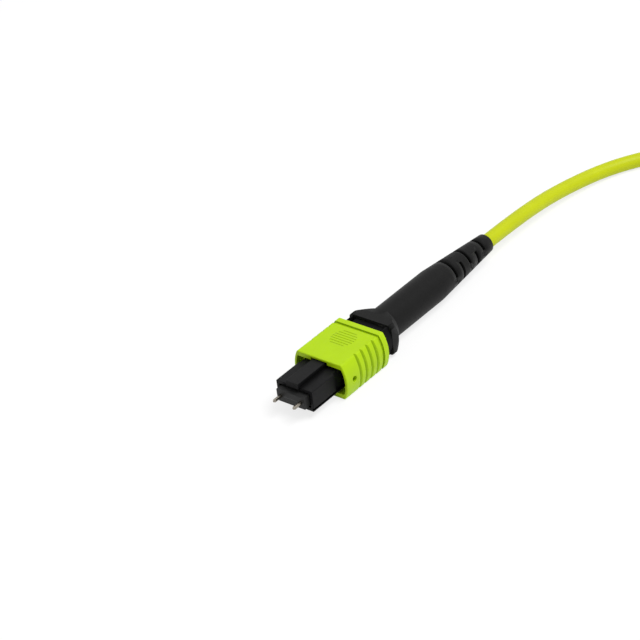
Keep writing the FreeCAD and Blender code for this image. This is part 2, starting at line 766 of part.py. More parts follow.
def cut_ribs(body):
    """Sloped grooves between the grip ribs, turned about the centre of each side's arc."""
    sketch = new_sketch(body, "RibGrooves", "XY_Plane")
    slope = f"({ref('groove_width')} - {ref('groove_floor')}) / 2 / {ref('groove_depth')}"
    lift = 0.05
    wide = f"({ref('groove_width')} / 2 + {lift} * {slope})"
    narrow = f"({ref('groove_floor')} / 2)"
    outer = f"{ref('side_reach')} + {lift}"
    inner = f"{ref('side_reach')} - {ref('groove_depth')}"
    for k in range(int(number("rib_count"))):
        place = f"{ref('rib_first')} + {k} * {ref('rib_pitch')}"
        add_polygon(
            sketch,
            [
                (outer, f"{place} - {wide}"),
                (outer, f"{place} + {wide}"),
                (inner, f"{place} + {narrow}"),
                (inner, f"{place} - {narrow}"),
            ],
        )
    start = Vec(number("side_centre"), 0, 0)
    axis = sketch.addGeometry(Part.LineSegment(start, start + Vec(0, 1, 0)), True)
    sketch.addConstraint(Sketcher.Constraint("Vertical", axis))
    pin_point(sketch, axis, 1, ref("side_centre"), "0")
    pin_point(sketch, axis, 2, None, "1")
    before = body.Shape.Volume
    grooves = body.newObject("PartDesign::Groove", "RightGrooves")
    grooves.Profile = sketch
    grooves.ReferenceAxis = (sketch, ["Axis0"])
    grooves.setExpression("Angle", ref("groove_sweep"))
    grooves.Midplane = True
    doc.recompute()
    if body.Shape.Volume >= before:
        raise RuntimeError("the rib grooves cut nothing")
    copies(
        body,
        grooves,
        "LeftGrooves",
        "PartDesign::Mirrored",
        MirrorPlane=(origin_part(body, "YZ_Plane"), [""]),
    )


def cut_ring(body):
    """The groove that sets off the collar at the sleeve's rear."""
    sketch = new_sketch(body, "RingFace", "XZ_Plane", ref("ring_place"))
    top = f"{ref('sleeve_height')} / 2"
    depth = ref("ring_depth")
    add_barrel(
        sketch,
        ref("side_centre"),
        f"{ref('side_radius')} - {depth}",
        f"{depth} - {top}",
        f"{top} - {depth}",
    )
    add_centred_box(sketch, f"3 * {ref('side_reach')}", f"2 * {ref('sleeve_height')}")
    pocket(body, sketch, "CollarRing", ref("ring_width"))


def cut_ridges(body):
    """Fine cross grooves on the sleeve's top, for the fingertip."""
    sketch = new_sketch(body, "RidgeLines", "XY_Plane", f"{ref('sleeve_height')} / 2")
    half = f"{ref('ridge_length')} / 2"
    for k in range(int(number("ridge_count"))):
        start = f"{ref('ridge_first')} + {k} * {ref('ridge_pitch')}"
        add_box(sketch, f"-{half}", half, start, f"{start} + {ref('ridge_width')}")
    pocket(body, sketch, "TopRidges", ref("ridge_depth"))


# ---------------------------------------------------------------- boot, crimp and yarn


def make_boot():
    """The slotted strain relief: a flange trimmed to round by a cone, and a tapered tail."""
    body = new_body("strain_relief_boot")
    front = ref("boot_front")
    waist = ref("boot_waist")
    size = ref("boot_diameter")
    face = new_sketch(body, "FlangeFace", "XZ_Plane", front)
    add_rounded_box(face, ref("flange_width"), ref("flange_height"), ref("flange_corner"))
    pad(body, face, "Flange", f"{waist} - {front}")
    trim = new_sketch(body, "BlendOutline", "YZ_Plane")
    corner = f"({ref('flange_width')} / 2 + {ref('flange_height')} / 8)"
    beyond = ref("flange_width")
    add_polygon(
        trim,
        [
            (f"{front} + {ref('flange_length')}", corner),
            (waist, f"{size} / 2 - {ref('blend_drop')}"),
            (f"{waist} + 1", f"{size} / 2 - {ref('blend_drop')}"),
            (f"{waist} + 1", beyond),
            (f"{front} + {ref('flange_length')}", beyond),
        ],
    )
    turned(body, trim, "Blend", "PartDesign::Groove")
    tail = new_sketch(body, "TailOutline", "YZ_Plane")
    end, lip = ref("boot_rear"), ref("boot_rounding")
    end_radius = f"{ref('boot_rear_diameter')} / 2"
    tail_start = f"{front} + {ref('flange_length')}"
    add_polygon(
        tail,
        [
            (tail_start, "0"),
            (end, "0"),
            (end, f"{end_radius} - {lip}"),
            (f"{end} - {lip}", end_radius),
            (ref("boot_shoulder"), f"{size} / 2"),
            (waist, f"{size} / 2"),
            (tail_start, f"{ref('flange_height')} / 2 - {ref('blend_drop')}"),
        ],
    )
    turned(body, tail, "Tail")
    hollow = new_sketch(body, "BootBoreOutline", "YZ_Plane")
    gap = ref("snug_gap")
    wide_bore = f"{ref('crimp_radius')} + {gap}"
    mid_bore = f"{ref('skirt_radius')} + {gap}"
    slim_bore = f"{ref('cable_diameter')} / 2 + {gap}"
    step, stop = ref("crimp_step"), ref("crimp_rear")
    add_polygon(
        hollow,
        [
            (front, "0"),
            (f"{end} + 1", "0"),
            (f"{end} + 1", slim_bore),
            (stop, slim_bore),
            (stop, mid_bore),
            (f"{step} + {gap}", mid_bore),
            (f"{step} + {gap}", wide_bore),
            (front, wide_bore),
        ],
    )
    turned(body, hollow, "BootBore", "PartDesign::Groove")
    cut_slots(body, "Top", "YZ_Plane", 3, "0", ref("slot_top_sweep"))
    cut_slots(body, "Side", "XY_Plane", 2, f"{ref('slot_pitch')} / 2", ref("slot_side_sweep"))
    return body


def cut_slots(body, name, role, count, offset, sweep):
    """Flex slots: arcs about the axis on one side, then the same on the far side."""
    sketch = new_sketch(body, f"{name}Slots", role)
    floor, beyond = f"{ref('slot_floor')} / 2", f"{ref('boot_diameter')} / 2"
    for k in range(count):
        start = f"{ref('slot_first')} + {offset} + {k} * {ref('slot_pitch')}"
        left, right = f"{start} - {ref('slot_width')} / 2", f"{start} + {ref('slot_width')} / 2"
        if role == "YZ_Plane":
            add_box(sketch, left, right, floor, beyond)
        else:
            add_box(sketch, floor, beyond, left, right)
    slots = turned(body, sketch, f"{name}SlotCut", "PartDesign::Groove", sweep)
    copies(
        body,
        slots,
        f"{name}SlotPair",
        "PartDesign::PolarPattern",
        Axis=(origin_part(body, "Y_Axis"), [""]),
        Angle=360,
        Occurrences=2,
    )


def make_crimp_sleeve():
    """A stepped metal tube: wide over the yarn and the stub, slim over the jacket."""
    body = new_body("crimp_sleeve")
    outline = new_sketch(body, "CrimpOutline", "YZ_Plane")
    front, step, rear = ref("boot_front"), ref("crimp_step"), ref("crimp_rear")
    seat = ref("jacket_start")
    bore, wide = ref("crimp_bore"), ref("crimp_radius")
    slim_bore, slim = ref("skirt_bore"), ref("skirt_radius")
    add_polygon(
        outline,
        [
            (front, bore),
            (seat, bore),
            (seat, slim_bore),
            (rear, slim_bore),
            (rear, slim),
            (step, slim),
            (step, wide),
            (front, wide),
        ],
    )
    turned(body, outline, "CrimpTube")
    return body


def make_yarn():
    """The cable's aramid yarn, laid back over the stub and held by the crimp."""
    body = new_body("aramid_yarn")
    outline = new_sketch(body, "YarnOutline", "YZ_Plane")
    front, end = f"{ref('boot_front')} + {ref('yarn_start')}", ref("jacket_start")
    inner, outer = f"{ref('stub_diameter')} / 2", ref("yarn_radius")
    add_polygon(outline, [(front, inner), (end, inner), (end, outer), (front, outer)])
    turned(body, outline, "Yarn")
    return body


def make_jacket_end():
    """The cable's straight stretch inside the boot, hollow where the fibres come out."""
    body = new_body("cable_jacket_end")
    outline = new_sketch(body, "JacketOutline", "YZ_Plane")
    start, end = ref("jacket_start"), ref("cord_start")
    outer, inner = f"{ref('cable_diameter')} / 2", f"{ref('cable_bore')} / 2"
    depth = f"{start} + {ref('cable_bore_depth')}"
    add_polygon(
        outline,
        [(start, inner), (depth, inner), (depth, "0"), (end, "0"), (end, outer), (start, outer)],
    )
    turned(body, outline, "Jacket")
    return body


# ---------------------------------------------------------------- springs, fibres, cable


def add_shape(label, shape):
    """A sub-part whose form no feature makes: its shape is worked out here."""
    item = doc.addObject("Part::Feature", label)
    item.Shape = shape
    return on_axis(item, label)


def faceted_tube(points, radius, sides):
    """A solid rod with flat sides along straight runs, mitred where the runs meet."""
    heading = (points[1] - points[0]).normalize()
    aside = heading.cross(Vec(0, 0, 1) if abs(heading.z) < 0.9 else Vec(1, 0, 0)).normalize()
    other = heading.cross(aside)
    ring = []
    for k in range(sides):
        turn = 2 * math.pi * k / sides
        ring.append(points[0] + aside * radius * math.cos(turn) + other * radius * math.sin(turn))
    faces = [Part.Face(Part.makePolygon(ring + ring[:1]))]
    for k in range(1, len(points)):
        heading = (points[k] - points[k - 1]).normalize()
        normal = Vec(heading)
        if k + 1 < len(points):
            normal = normal + (points[k + 1] - points[k]).normalize()
        moved = []
        for corner in ring:
            reach = (points[k] - corner).dot(normal) / heading.dot(normal)
            moved.append(corner + heading * reach)
        for j in range(sides):
            n = (j + 1) % sides
            loop = [ring[j], ring[n], moved[n], moved[j], ring[j]]
            faces.append(Part.Face(Part.makePolygon(loop)))
        ring = moved
    faces.append(Part.Face(Part.makePolygon(ring + ring[:1])))
    shell = Part.Shell(faces)
    solid = Part.Solid(shell)
    if solid.Volume < 0:
        solid.reverse()
    return solid


def coil_spring(label, middle, half_width, half_height, wire, front, rear, turns):
    """A compression spring along Y, round or oval, with closed ends ground flat on their seats."""
    each = int(number("steps_each_turn"))
    closed = 1.15 * wire
    open_pitch = (rear - front - 2 * closed) / (turns - 2)
    points = []
    for k in range(each * turns + 1):
        turn = k / each
        angle = 2 * math.pi * turn
        opened = min(max(turn - 1, 0), turns - 2)
        y = front + closed * (turn - opened) + open_pitch * opened
        points.append(Vec(middle + half_width * math.cos(angle), y, half_height * math.sin(angle)))
    rod = faceted_tube(points, wire / 2, int(number("wire_sides")))
    reach_x, reach_z = half_width + wire, half_height + wire
    corner = Vec(middle - reach_x, front, -reach_z)
    slab = Part.makeBox(2 * reach_x, rear - front, 2 * reach_z, corner)
    return add_shape(label, rod.common(slab))


def make_springs():
    wire = number("side_spring_wire")
    reach = (number("side_spring_diameter") - wire) / 2
    for name, side in (("left", -1), ("right", 1)):
        coil_spring(
            f"coupling_spring_{name}",
            side * number("spring_side"),
            reach,
            reach,
            wire,
            number("channel_start"),
            number("ear_start"),
            int(number("side_spring_turns")),
        )
    wire = number("main_spring_wire")
    coil_spring(
        "ferrule_spring",
        0.0,
        (number("main_spring_width") - wire) / 2,
        (number("main_spring_height") - wire) / 2,
        wire,
        number("clamp_rear"),
        number("push_seat"),
        int(number("main_spring_turns")),
    )


def rounded_route(points, name=None):
    """Straight runs joined by tangent arcs, each as large as its two runs allow."""
    edges, last, radii = [], points[0], []
    for before, corner, after in zip(points, points[1:], points[2:]):
        back, ahead = (before - corner), (after - corner)
        shorter = min(back.Length, ahead.Length)
        back.normalize()
        ahead.normalize()
        half_turn = (math.pi - back.getAngle(ahead)) / 2
        if half_turn < 1e-6:
            continue
        cut = 0.45 * shorter
        radius = cut / math.tan(half_turn)
        radii.append(radius)
        enter, leave = corner + back * cut, corner + ahead * cut
        inward = back + ahead
        inward.normalize()
        middle = corner + inward * (radius / math.cos(half_turn) - radius)
        edges.append(Part.LineSegment(last, enter).toShape())
        edges.append(Part.Arc(enter, middle, leave).toShape())
        last = leave
    edges.append(Part.LineSegment(last, points[-1]).toShape())
    if name:
        print(name, "bend radii", [round(r, 1) for r in radii])
    return Part.Wire(edges)


def tube_along(points, diameter, name=None):
    """A solid round tube on a rounded route, its volume checked against its length."""
    route = rounded_route(points, name)
    section = Part.Wire(
        [Part.Circle(points[0], points[1] - points[0], diameter / 2).toShape()]
    )
    tube = route.makePipeShell([section], True, False)
    expected = math.pi * diameter**2 / 4 * route.Length
    if abs(tube.Volume / expected - 1) > 0.01:
        raise RuntimeError("a tube's volume isn't its section times its length")
    if name:
        print(name, "length", round(route.Length, 1))
    return tube


def make_fibres():
    """Bare fibres in a row in the ferrule, coated behind it and gathered towards the cable."""
    bare_end = number("ferrule_length") - number("pocket_depth")
    bend, gathered = number("fibre_bend_start"), number("fibre_bend_end")
    columns = int(number("fibre_count")) // 2
    for k in range(int(number("fibre_count"))):
        across = value(fibre_across(k))
        column, upper = divmod(k, 2)
        x = (column - (columns - 1) / 2) * number("bundle_pitch")
        z = number("bundle_rise") * (1 if upper else -1)
        bare = [Vec(across, 0, 0), Vec(across, bare_end, 0)]
        coated = [
            Vec(across, bare_end, 0),
            Vec(across, bend, 0),
            Vec(x, gathered, z),
            Vec(x, number("fibre_end"), z),
        ]
        sides = int(number("wire_sides"))
        glass = faceted_tube(bare, number("fibre_diameter") / 2, sides)
        jacket = faceted_tube(coated, number("coating_diameter") / 2, sides)
        add_shape(f"fibre_{k + 1:02d}", glass.fuse(jacket))


# The route's corners from the boot to the hank: across, back from the boot's rear end, and
# how far the cable has come down from the plug's axis to the surface it lies on (0 to 1).
CABLE_ROUTE = [
    (0.0, None, 0.0),
    (0.0, 11.0, 0.0),
    (0.1, 26.0, 0.66),
    (3.9, 41.0, 1.0),
    (13.2, 52.5, 1.0),
    (None, 69.0, 1.0),
    (None, None, 1.0),
]


def make_cable():
    """The free cable, from inside the boot's end to where the hank begins."""
    low = number("cable_low")
    ends = [(0.0, number("cord_start")), (number("lead_x"), number("hank_lead"))]
    points = []
    for k, (x, y, fall) in enumerate(CABLE_ROUTE):
        end = ends[0 if k == 0 else 1]
        x = end[0] if x is None else x
        y = end[1] if y is None else number("boot_rear") + y
        points.append(Vec(x, y, low * fall))
    add_shape("cable", tube_along(points, number("cable_diameter"), "cable"))


def stadium(radius, straight, low, high):
    """A slab with two round ends, its long sides along Y from the hank's lead to its far end."""
    x, y = number("hank_centre"), number("hank_lead")
    slab = Part.makeBox(2 * radius, straight, high - low, Vec(x - radius, y, low))
    for end in (y, y + straight):
        slab = slab.fuse(Part.makeCylinder(radius, high - low, Vec(x, end, low)))
    return slab.removeSplitter()


def make_hank():
    """The outer shape of the wound-up cable, with a step where the lead joins it."""
    thick = number("cable_diameter")
    floor = number("cable_low") - thick / 2
    top = floor + thick * number("hank_layers") + number("tie_thickness") + number("tie_slack")
    radius = number("hank_radius") + thick / 2
    straight = number("hank_straight")
    hank = stadium(radius, straight, floor, top)
    x, y = number("hank_centre"), number("hank_lead")
    step = Part.makeBox(
        thick + 1, radius + 1, top - floor + 2, Vec(x + radius - thick - number("tie_slack"), y - radius - 1, floor - 1)
    )
    hank = hank.cut(step)
    band = number("tie_thickness")
    under = Part.makeBox(
        2 * radius, number("tie_width"), band, Vec(x - radius, y + (straight - number("tie_width")) / 2, floor)
    )
    add_shape("cable_hank", hank.cut(under))
    make_tie(radius, floor, top)


def make_tie(radius, floor, top):
    """A strap round the middle of the hank."""
    band = number("tie_thickness")
    width = number("tie_width")
    x = number("hank_centre")
    y = number("hank_lead") + (number("hank_straight") - width) / 2
    outer = Part.makeBox(
        2 * radius + 2 * band, width, top + band - floor, Vec(x - radius - band, y, floor)
    )
    upright = [e for e in outer.Edges if runs_along(e, Vec(0, 1, 0))]
    outer = outer.makeFillet(band * 0.9, upright)
    inner = Part.makeBox(2 * radius, width, top - floor - band, Vec(x - radius, y, floor + band))
    add_shape("cable_tie", outer.cut(inner))


# ---------------------------------------------------------------- build and write


def check_and_write():
    doc.recompute()
    for item in doc.Objects:
        if "Invalid" in item.State or "Error" in item.State:
            raise RuntimeError(f"{item.Label} failed: {item.State}")
    parts = [o for o in doc.Objects if o.TypeId in ("PartDesign::Body", "Part::Feature")]
    for part in parts:
        if part.Shape.isNull() or not part.Shape.isValid():
            raise RuntimeError(f"{part.Label} has no valid shape")
        if len(part.Shape.Solids) != 1:
            raise RuntimeError(f"{part.Label} has {len(part.Shape.Solids)} solids")
    os.makedirs("parts", exist_ok=True)
    for part in parts:
        part.Shape.exportStep(f"parts/{part.Label}.step")
    print(len(parts), "sub-parts written")


make_inner_housing()
make_ferrule()
make_guide_pin("guide_pin_left", -1)
make_guide_pin("guide_pin_right", 1)
make_pin_clamp()
make_ferrule_sock()
make_rear_body()
make_coupling_sleeve()
make_boot()
make_crimp_sleeve()
make_yarn()
make_jacket_end()
make_springs()
make_fibres()
make_cable()
make_hank()
check_and_write()
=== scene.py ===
import math

import bmesh
import bpy
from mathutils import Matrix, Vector


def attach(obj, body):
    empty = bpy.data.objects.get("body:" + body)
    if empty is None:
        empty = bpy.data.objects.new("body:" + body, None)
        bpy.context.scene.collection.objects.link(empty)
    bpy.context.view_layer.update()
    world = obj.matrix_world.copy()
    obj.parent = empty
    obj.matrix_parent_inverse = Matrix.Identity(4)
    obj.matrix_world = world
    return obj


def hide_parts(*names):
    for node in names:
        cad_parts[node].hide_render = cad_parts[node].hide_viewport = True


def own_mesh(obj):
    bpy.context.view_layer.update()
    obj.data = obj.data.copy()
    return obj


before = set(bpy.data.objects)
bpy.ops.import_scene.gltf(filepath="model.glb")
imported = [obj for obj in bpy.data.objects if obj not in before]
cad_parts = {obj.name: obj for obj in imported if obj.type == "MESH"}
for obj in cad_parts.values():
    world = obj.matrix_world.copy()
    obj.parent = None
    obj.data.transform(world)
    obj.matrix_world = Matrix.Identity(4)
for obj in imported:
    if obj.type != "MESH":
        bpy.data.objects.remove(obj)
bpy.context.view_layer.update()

MM = 0.001
scene = bpy.context.scene
scene.view_settings.view_transform = "Standard"

# The plug's axis stands this high, and its ferrule's face is this far along Y.
AXIS_Z = 3.76 * MM
FACE_Y = -29.475 * MM


def on_axis(x, y, z):
    """A point given in millimetres about the plug's axis, y counted from the ferrule's face."""
    return Vector((x * MM, FACE_Y + y * MM, AXIS_Z + z * MM))


# ---------------------------------------------------------------- camera


def add_camera():
    """The photographed view: place, turn and lens were fitted to the plug's known sizes."""
    data = bpy.data.cameras.new("camera")
    data.lens = 132.0
    data.sensor_width = 36.0
    data.clip_start = 0.01
    data.clip_end = 5.0
    camera = bpy.data.objects.new("camera", data)
    camera.location = (0.242680, -0.280009, 0.243232)
    camera.rotation_euler = (0.996615, 0.114517, 0.675097)
    scene.collection.objects.link(camera)
    scene.camera = camera


# ---------------------------------------------------------------- materials


def srgb(r, g, b):
    """A linear colour from 8-bit display values."""
    out = []
    for c in (r, g, b):
        c = c / 255
        out.append(c / 12.92 if c <= 0.04045 else ((c + 0.055) / 1.055) ** 2.4)
    return (*out, 1.0)


def shaded(colour, k):
    return (*[min(1.0, c * k) for c in colour[:3]], 1.0)


class Nodes:
    """A material's node tree, with short ways to add what the finishes share."""

    def __init__(self, name, colour, rough):
        self.material = bpy.data.materials.new(name)
        self.material.use_nodes = True
        self.tree = self.material.node_tree
        self.shader = self.tree.nodes["Principled BSDF"]
        self.shader.inputs["Base Color"].default_value = colour
        self.shader.inputs["Roughness"].default_value = rough
        self.place = self.add("ShaderNodeTexCoord").outputs["Object"]

    def add(self, kind, **inputs):
        node = self.tree.nodes.new(kind)
        for key, setting in inputs.items():
            node.inputs[key].default_value = setting
        return node

    def link(self, source, target):
        self.tree.links.new(source, target)

    def feed(self, source, socket):
        """Give a socket what a node puts out, or a constant."""
        if isinstance(source, bpy.types.NodeSocket):
            self.link(source, socket)
        else:
            socket.default_value = source

    def vector(self, operation, first, second):
        node = self.add("ShaderNodeVectorMath")
        node.operation = operation
        for socket, source in zip(node.inputs, (first, second)):
            self.feed(source, socket)
        return node

    def noise(self, size_mm, detail=4.0, rough=0.55, stretch=(1, 1, 1)):
        """Noise whose features are about this many millimetres across."""
        scaled = self.vector("MULTIPLY", self.place, [1 / (size_mm * MM * s) for s in stretch])
        node = self.add("ShaderNodeTexNoise", Scale=1.0, Detail=detail, Roughness=rough)
        self.link(scaled.outputs[0], node.inputs["Vector"])
        return node.outputs["Fac"]

    def weave(self, pitch_mm, direction):
        scaled = self.vector("MULTIPLY", self.place, [1 / (pitch_mm * MM)] * 3)
        node = self.add("ShaderNodeTexWave", Scale=0.32, Distortion=0.4)
        node.bands_direction = direction
        self.link(scaled.outputs[0], node.inputs["Vector"])
        return node.outputs["Fac"]

    def ramp(self, value, low, high, a, b):
        node = self.add("ShaderNodeMapRange")
        for key, setting in (("From Min", low), ("From Max", high), ("To Min", a), ("To Max", b)):
            node.inputs[key].default_value = setting
        self.link(value, node.inputs["Value"])
        return node.outputs["Result"]

    def math(self, operation, first, second):
        node = self.add("ShaderNodeMath")
        node.operation = operation
        for socket, source in zip(node.inputs, (first, second)):
            self.feed(source, socket)
        return node.outputs[0]

    def mix(self, fac, a, b):
        """A colour mixed by a factor; each colour is a value or a socket."""
        node = self.add("ShaderNodeMix")
        node.data_type = "RGBA"
        self.link(fac, node.inputs["Factor"])
        for side, colour in (("A", a), ("B", b)):
            self.feed(colour, next(s for s in node.inputs if s.name == side and s.type == "RGBA"))
        return next(s for s in node.outputs if s.type == "RGBA")

    def soft_edges(self, radius_mm):
        """The normal of a surface whose edges are rounded off."""
        node = self.add("ShaderNodeBevel", Radius=radius_mm * MM)
        node.samples = 6
        return node.outputs["Normal"]

    def edges(self, radius_mm):
        """One along the sharp edges, fading to nought on the open faces."""
        flat = self.add("ShaderNodeNewGeometry").outputs["Normal"]
        turned = self.vector("DOT_PRODUCT", self.soft_edges(radius_mm), flat)
        return self.ramp(turned.outputs["Value"], 0.995, 0.86, 0.0, 1.0)

    def hollows(self, reach_mm):
        """Painted shade: one deep in grooves and corners, where shade falls, fading to nought on
        the open faces.
        """
        node = self.add("ShaderNodeAmbientOcclusion", Distance=reach_mm * MM)
        node.samples = 8
        node.only_local = True
        return self.ramp(node.outputs["AO"], 0.9, 0.55, 0.0, 1.0)

    def bump(self, height, depth_mm, strength=1.0, under=None):
        node = self.add("ShaderNodeBump", Strength=strength, Distance=depth_mm * MM)
        self.link(height, node.inputs["Height"])
        if under is not None:
            self.link(under, node.inputs["Normal"])
        return node.outputs["Normal"]

    def finish(self, colour=None, rough=None, normal=None, **constants):
        for key, source in (("Base Color", colour), ("Roughness", rough), ("Normal", normal)):
            if source is not None:
                self.link(source, self.shader.inputs[key])
        for key, setting in constants.items():
            self.shader.inputs[key.replace("_", " ")].default_value = setting
        return self.material


def moulded(
    name,
    colour,
    rough,
    grain_mm=0.12,
    grain_depth=0.006,
    blotch=0.05,
    gloss=0.25,
    edge=0.1,
    painted_shade=0.0,
    reach=0.7,
    bloom=0.0,
):
    """Moulded plastic: slow tone drift, fine grain, uneven gloss, edges rubbed paler.

    Where painted shade is given, that share of shade is painted into the colour in hollows as
    wide as reach; bloom is a faint paleness at glancing angles."""
    n = Nodes(name, colour, rough)
    drift = n.ramp(n.noise(4.0, 3), 0.3, 0.7, 0.0, 1.0)
    fine = n.ramp(n.noise(0.35, 5), 0.35, 0.65, 0.0, 0.35)
    tone = n.mix(drift, shaded(colour, 1 - blotch), shaded(colour, 1 + blotch))
    tone = n.mix(fine, tone, shaded(colour, 1 - 1.5 * blotch))
    rubbed = n.edges(edge)
    worn = n.math("MULTIPLY", rubbed, n.ramp(n.noise(0.6, 4), 0.4, 0.65, 0.15, 0.8))
    tone = n.mix(worn, tone, shaded(colour, 1.25))
    # Painted shade: the colour darkens in grooves, recesses and corners, where shade falls.
    if painted_shade:
        tone = n.mix(n.hollows(reach), tone, shaded(colour, 1 - painted_shade))
    dull = n.ramp(n.noise(0.8, 6, 0.65), 0.3, 0.7, rough - 0.06, rough + 0.08)
    dull = n.math("SUBTRACT", dull, n.math("MULTIPLY", rubbed, 0.08))
    swell = n.bump(n.noise(1.6, 2), 0.03, 0.35, n.soft_edges(edge))
    grain = n.bump(n.noise(grain_mm, 6, 0.7), grain_depth, 0.8, swell)
    return n.finish(tone, dull, grain, Specular_IOR_Level=gloss, Sheen_Weight=bloom)


def metal(name, colour, rough, stretch, wear=0.12):
    """Ground or drawn metal, with fine lines along one direction."""
    n = Nodes(name, colour, rough)
    lines = n.noise(0.05, 4, 0.7, stretch)
    worn = n.ramp(lines, 0.35, 0.65, 0, 1)
    tone = n.mix(worn, shaded(colour, 1 - wear), shaded(colour, 1 + wear))
    dull = n.ramp(n.noise(0.5, 4), 0.3, 0.7, rough - 0.05, rough + 0.1)
    return n.finish(tone, dull, n.bump(lines, 0.002, 0.6, n.soft_edges(0.04)), Metallic=1.0)


def strands(name, colour, rough):
    """Yarn laid along the plug: fine strands, lit unevenly."""
    n = Nodes(name, colour, rough)
    lines = n.noise(0.06, 5, 0.7, (1, 14, 1))
    tone = n.mix(n.ramp(lines, 0.3, 0.7, 0, 1), shaded(colour, 0.6), shaded(colour, 1.2))
    dull = n.ramp(lines, 0.3, 0.7, rough - 0.1, rough + 0.1)
    return n.finish(tone, dull, n.bump(lines, 0.04), Sheen_Weight=0.2)


def fabric(name, colour, rough):
    """The strap's woven band."""
    n = Nodes(name, colour, rough)
    cloth = n.math("ADD", n.weave(0.5, "Y"), n.weave(0.5, "DIAGONAL"))
    tone = n.mix(n.ramp(cloth, 0.3, 1.7, 0, 1), shaded(colour, 0.55), shaded(colour, 1.3))
    dull = n.ramp(n.noise(0.4, 4), 0.3, 0.7, rough - 0.05, rough + 0.1)
    fuzz = n.bump(n.noise(0.08, 5, 0.7), 0.03, 0.6)
    return n.finish(tone, dull, n.bump(cloth, 0.12, 0.8, fuzz), Sheen_Weight=0.3)


def coated_fibre(name, colour):
    """Bare glass in the ferrule, a coloured coat behind it."""
    n = Nodes(name, colour, 0.35)
    along = n.add("ShaderNodeSeparateXYZ")
    n.link(n.place, along.inputs[0])
    bare_end = (FACE_Y / MM + 5.0) * MM
    coated = n.ramp(along.outputs["Y"], bare_end - 0.05 * MM, bare_end + 0.05 * MM, 0, 1)
    tint = n.mix(n.ramp(n.noise(0.5, 3), 0.3, 0.7, 0, 1), shaded(colour, 0.85), shaded(colour, 1.1))
    tone = n.mix(coated, srgb(78, 82, 84), tint)
    dull = n.ramp(n.noise(0.3, 3), 0.3, 0.7, 0.28, 0.42)
    return n.finish(tone, dull, n.bump(n.noise(0.05, 4), 0.002))


LIME = srgb(178, 215, 8)
JACKET = srgb(194, 205, 8)
# The fibres' coats, in the standard order of colours.
COATS = {
    "blue": srgb(30, 90, 180),
    "orange": srgb(232, 120, 30),
    "green": srgb(40, 150, 70),
    "brown": srgb(120, 76, 46),
    "slate": srgb(128, 134, 140),
    "white": srgb(232, 232, 228),
    "red": srgb(200, 40, 40),
    "black": srgb(30, 30, 30),
    "yellow": srgb(236, 208, 50),
    "violet": srgb(122, 76, 160),
    "rose": srgb(236, 150, 170),
    "aqua": srgb(70, 190, 200),
}


def make_materials():
    # Each finish's share of painted shade darkens its grooves, slots and recesses, where shade
    # falls.
    return {
        "sleeve": moulded(
            "lime_sleeve", LIME, 0.45,
            grain_mm=0.10, grain_depth=0.004, blotch=0.03, gloss=0.2, painted_shade=0.3,
        ),
        "housing": moulded(
            "black_housing", srgb(22, 22, 23), 0.42,
            grain_mm=0.10, blotch=0.10, gloss=0.085, painted_shade=0.85, reach=1.2,
        ),
        "rear": moulded(
            "black_rear_body", srgb(18, 18, 19), 0.48,
            grain_mm=0.10, blotch=0.10, gloss=0.05, edge=0.12, painted_shade=0.8,
        ),
        "ferrule": moulded(
            "ferrule_grey", srgb(42, 42, 42), 0.42,
            grain_mm=0.05, grain_depth=0.003, blotch=0.12, gloss=0.17, edge=0.05, painted_shade=0.7,
            reach=0.9,
        ),
        "boot": moulded(
            "boot_rubber", srgb(25, 25, 25), 0.55,
            grain_mm=0.14, grain_depth=0.010, blotch=0.08, gloss=0.065, edge=0.03, painted_shade=0.97,
            reach=1.5, bloom=0.06,
        ),
        "sock": moulded(
            "sock_rubber", srgb(18, 18, 18), 0.7, grain_mm=0.1, grain_depth=0.01, blotch=0.1
        ),
        "jacket": moulded(
            "jacket_lime", JACKET, 0.45, grain_mm=0.18, grain_depth=0.008, blotch=0.04, gloss=0.22
        ),
        "pin": metal("pin_steel", srgb(142, 136, 126), 0.2, (1, 6, 1)),
        "spring": metal("spring_wire", srgb(176, 176, 178), 0.3, (1, 1, 1)),
        "clamp": metal("clamp_steel", srgb(170, 170, 168), 0.35, (8, 1, 1)),
        "crimp": metal("crimp_metal", srgb(186, 186, 182), 0.34, (1, 8, 1)),
        "yarn": strands("yarn_strands", srgb(214, 182, 84), 0.6),
        "strap": fabric("strap_fabric", srgb(24, 24, 25), 0.8),
    }


FINISHES = {
    "coupling_sleeve": "sleeve",
    "inner_housing": "housing",
    "spring_push": "rear",
    "ferrule": "ferrule",
    "ferrule_boot": "sock",
    "pin_clamp": "clamp",
    "guide_pin_left": "pin",
    "guide_pin_right": "pin",
    "ferrule_spring": "spring",
    "coupling_spring_left": "spring",
    "coupling_spring_right": "spring",
    "strain_relief_boot": "boot",
    "crimp_sleeve": "crimp",
    "aramid_yarn": "yarn",
    "cable_jacket_end": "jacket",
    "cable": "jacket",
    "cable_hank": "jacket",
    "cable_tie": "strap",
}


# Edges sharper than this many degrees stay crisp.
SHARP = 28


def dress(piece, material, sharp):
    """Give a piece its one material, and smooth it but for edges sharper than this angle."""
    piece.data.materials.clear()
    piece.data.materials.append(material)
    for polygon in piece.data.polygons:
        polygon.use_smooth = True
    piece.data.set_sharp_from_angle(angle=math.radians(sharp))


def dress_nodes(materials):
    coats = [coated_fibre(f"coat_{name}", colour) for name, colour in COATS.items()]
    for name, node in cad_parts.items():
        if name.startswith("fibre_"):
            material = coats[int(name[-2:]) - 1]
        else:
            material = materials[FINISHES[name]]
        dress(node, material, SHARP)


# ---------------------------------------------------------------- sleeve and boot

